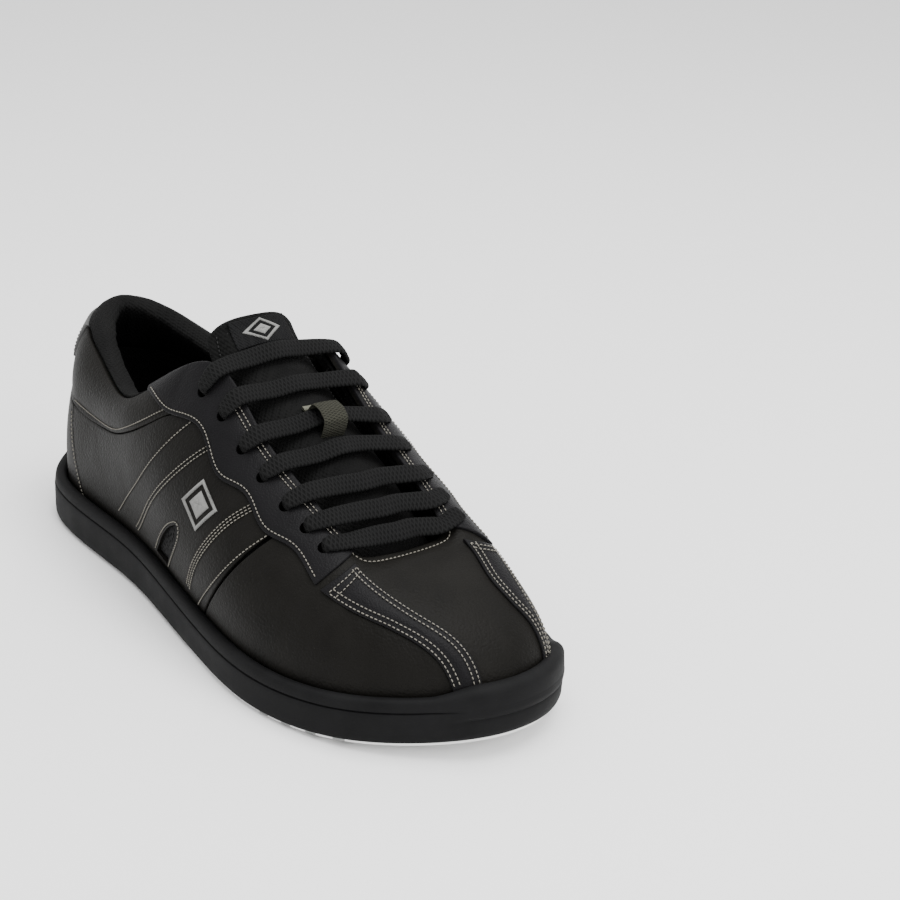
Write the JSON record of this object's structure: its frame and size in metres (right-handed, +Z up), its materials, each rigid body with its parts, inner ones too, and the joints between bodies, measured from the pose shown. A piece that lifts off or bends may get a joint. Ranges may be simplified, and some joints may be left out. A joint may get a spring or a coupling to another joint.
{
  "type": "bowling shoe",
  "caption": "Low-cut lace-up bowling shoe with a rubber cup sole, smooth slide pad, stitched leather upper, padded collar and hinged padded tongue.",
  "frame": {"origin": "middle of the bounding box at floor level", "axes": "+X to the toe, +Y to the inner (medial) side of the foot, +Z up"},
  "size_m": [0.3021, 0.112, 0.1169],
  "materials": {
    "rubber": "matt moulded sole rubber",
    "pad": "white microfibre",
    "shank": "plain steel",
    "foam": "closed-cell foam",
    "board": "fibre board",
    "footbed": "foam with a cloth top",
    "leather": "soft black leather, fine grain",
    "stay_leather": "smoother black leather",
    "heel_tab": "silver-grey coated leather",
    "thread": "embroidery thread",
    "mesh": "black open mesh",
    "stiffener": "thermoplastic sheet",
    "lining": "brushed knit",
    "tongue_cloth": "black knit over foam",
    "patch": "woven patch with silver thread",
    "webbing": "woven webbing",
    "lace": "woven polyester"
  },
  "bodies": {
    "shoe": {"outsole": "rubber", "slide_pad": "pad", "heel_pad": "rubber", "shank": "shank", "midsole": "foam", "insole_board": "board", "footbed": "footbed", "vamp": "leather", "quarter_outer": "leather", "quarter_inner": "leather", "heel_panel": "leather", "collar_panel": "leather", "stay_backing_outer": "leather", "stay_backing_inner": "leather", "eyestay_outer": "stay_leather", "eyestay_inner": "stay_leather", "toe_strip_outer": "stay_leather", "toe_strip_inner": "stay_leather", "heel_tab": "heel_tab", "badge_outer": "thread", "badge_inner": "thread", "side_window": "mesh", "heel_counter": "stiffener", "toe_puff": "stiffener", "heel_lining": "lining", "eyestay_lining_outer": "lining", "eyestay_lining_inner": "lining", "vamp_lining": "lining", "collar_padding": "lining", "laces": "lace"},
    "tongue": {"tongue": "tongue_cloth", "tongue_patch": "patch", "lace_keeper": "webbing"}
  },
  "joints": [
    {"name": "tongue_hinge", "type": "hinge", "parent": "shoe", "child": "tongue", "pos_m": [0.09, 0.001, 0.047], "axis": [0, 1, 0], "range_deg": [-2.5, 0]}
  ]
}
